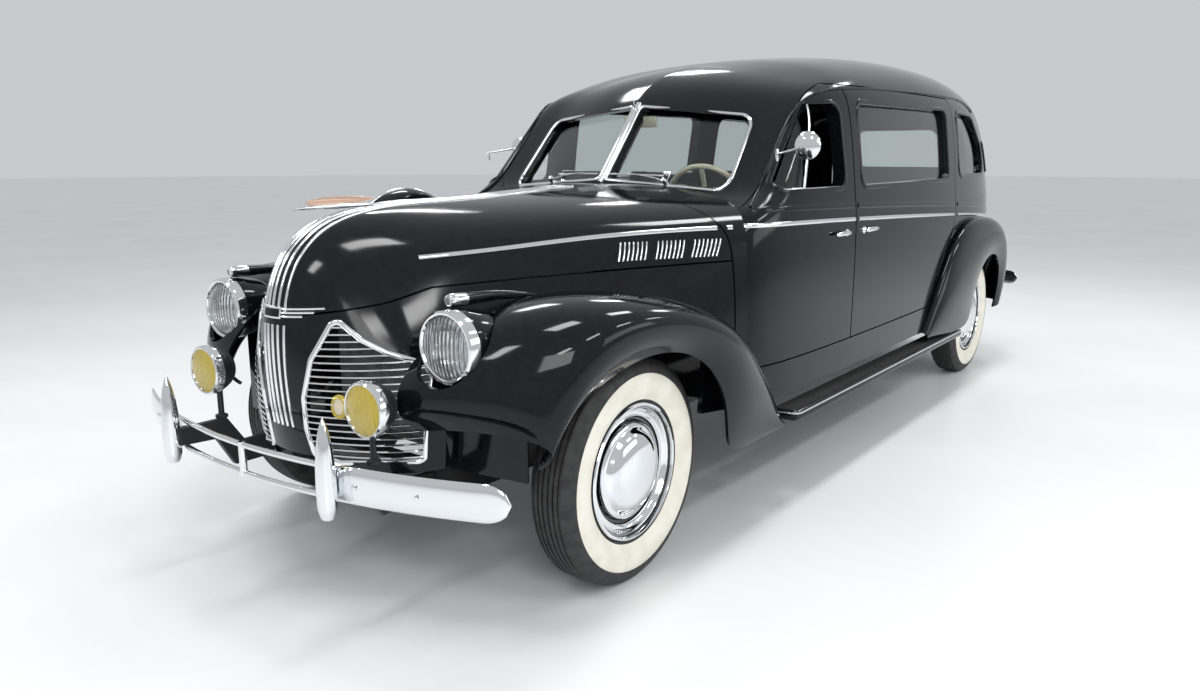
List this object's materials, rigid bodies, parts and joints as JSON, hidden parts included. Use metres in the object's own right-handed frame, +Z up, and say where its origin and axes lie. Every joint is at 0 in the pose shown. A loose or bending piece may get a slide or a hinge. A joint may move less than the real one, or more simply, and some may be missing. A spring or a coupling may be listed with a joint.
{
  "type": "funeral coach",
  "caption": "Long-wheelbase closed funeral coach with a long rounded roof, pontoon fenders, side doors, a rear loading door, opening hood and steered front wheels.",
  "frame": {"origin": "on the ground at the middle of the overall length and width", "axes": "+X forward, +Y to the coach's left, +Z up"},
  "size_m": [5.8, 1.8861, 1.8855],
  "materials": {
    "amber_lens": "yellow fog lamp lens",
    "black_paint": "deep gloss black enamel",
    "cast": "plain grey casting",
    "chrome": "polished chrome plate",
    "fabric": "dark grey-brown cloth",
    "floor": "black floor pan",
    "glass": "clear safety glass",
    "ivory": "ivory plastic",
    "lens": "fluted clear lens",
    "rubber": "ribbed rubber mat",
    "steel_black": "black chassis paint",
    "tyre": "ribbed black tread with a wide cream whitewall",
    "wood": "varnished deck boards"
  },
  "bodies": {
    "body": {"chassis_frame": "steel_black", "floor_pan": "floor", "cabin_shell": "black_paint", "cowl_top": "black_paint", "nose_panel": "black_paint", "grilles": "chrome", "front_fender_left": "black_paint", "front_fender_right": "black_paint", "rear_fender_left": "black_paint", "rear_fender_right": "black_paint", "running_board_left": "rubber", "running_board_right": "rubber", "front_bumper": "chrome", "rear_bumper": "chrome", "headlamps": "chrome", "headlamp_lenses": "lens", "parking_lamps": "chrome", "fog_lamps": "chrome", "fog_lamp_lenses": "amber_lens", "tail_lamps": "chrome", "fixed_glass": "glass", "dashboard": "black_paint", "front_seat": "fabric", "load_deck": "wood", "engine": "cast", "front_suspension": "steel_black", "rear_axle": "steel_black", "exhaust": "steel_black", "fuel_tank": "steel_black", "spare_wheel": "black_paint"},
    "hood": {"hood": "black_paint", "hood_ornament": "chrome"},
    "front_door_left": {"front_door_left": "black_paint", "front_door_left_glass": "glass", "mirror_left": "chrome"},
    "front_door_right": {"front_door_right": "black_paint", "front_door_right_glass": "glass", "mirror_right": "chrome"},
    "rear_door_left": {"rear_door_left": "black_paint", "rear_door_left_glass": "glass"},
    "rear_door_right": {"rear_door_right": "black_paint", "rear_door_right_glass": "glass"},
    "loading_door": {"loading_door": "black_paint", "loading_door_glass": "glass"},
    "knuckle_left": {"knuckle_left": "cast"},
    "knuckle_right": {"knuckle_right": "cast"},
    "steering_wheel": {"steering_wheel": "ivory"},
    "wheel_front_left": {"tyre_front_left": "tyre", "wheel_front_left": "black_paint"},
    "wheel_front_right": {"tyre_front_right": "tyre", "wheel_front_right": "black_paint"},
    "wheel_rear_left": {"tyre_rear_left": "tyre", "wheel_rear_left": "black_paint"},
    "wheel_rear_right": {"tyre_rear_right": "tyre", "wheel_rear_right": "black_paint"}
  },
  "joints": [
    {"name": "hood_hinge", "type": "hinge", "parent": "body", "child": "hood", "pos_m": [1.352, 0, 1.262], "axis": [0, -1, 0], "range_deg": [0, 45]},
    {"name": "front_door_left_hinge", "type": "hinge", "parent": "body", "child": "front_door_left", "pos_m": [1.292, 0.812, 0.9], "axis": [0, 0, -1], "range_deg": [0, 55]},
    {"name": "front_door_right_hinge", "type": "hinge", "parent": "body", "child": "front_door_right", "pos_m": [1.292, -0.812, 0.9], "axis": [0, 0, 1], "range_deg": [0, 55]},
    {"name": "rear_door_left_hinge", "type": "hinge", "parent": "body", "child": "rear_door_left", "pos_m": [-1.056, 0.856, 0.9], "axis": [0, 0, 1], "range_deg": [0, 70]},
    {"name": "rear_door_right_hinge", "type": "hinge", "parent": "body", "child": "rear_door_right", "pos_m": [-1.056, -0.856, 0.9], "axis": [0, 0, -1], "range_deg": [0, 70]},
    {"name": "loading_door_hinge", "type": "hinge", "parent": "body", "child": "loading_door", "pos_m": [-2.6, 0.56, 1], "axis": [0, 0, -1], "range_deg": [0, 100]},
    {"name": "steer_left", "type": "hinge", "parent": "body", "child": "knuckle_left", "pos_m": [2, 0.605, 0.37], "axis": [0, 0, 1], "range_deg": [-26, 26]},
    {"name": "steer_right", "type": "hinge", "parent": "body", "child": "knuckle_right", "pos_m": [2, -0.605, 0.37], "axis": [0, 0, 1], "range_deg": [-26, 26]},
    {"name": "steering_wheel_turn", "type": "hinge", "parent": "body", "child": "steering_wheel", "pos_m": [0.84, 0.36, 1.124], "axis": [-0.9397, 0, 0.342], "range_deg": [-312, 312]},
    {"name": "wheel_front_left_spin", "type": "hinge", "parent": "knuckle_left", "child": "wheel_front_left", "pos_m": [2, 0.726, 0.37], "axis": [0, 1, 0], "continuous": true},
    {"name": "wheel_front_right_spin", "type": "hinge", "parent": "knuckle_right", "child": "wheel_front_right", "pos_m": [2, -0.726, 0.37], "axis": [0, 1, 0], "continuous": true},
    {"name": "wheel_rear_left_spin", "type": "hinge", "parent": "body", "child": "wheel_rear_left", "pos_m": [-1.71, 0.728, 0.37], "axis": [0, 1, 0], "continuous": true},
    {"name": "wheel_rear_right_spin", "type": "hinge", "parent": "body", "child": "wheel_rear_right", "pos_m": [-1.71, -0.728, 0.37], "axis": [0, 1, 0], "continuous": true}
  ],
  "couplings": [
    {"joint": "steer_right", "follows": "steer_left", "ratio": 1},
    {"joint": "steering_wheel_turn", "follows": "steer_left", "ratio": 12}
  ]
}
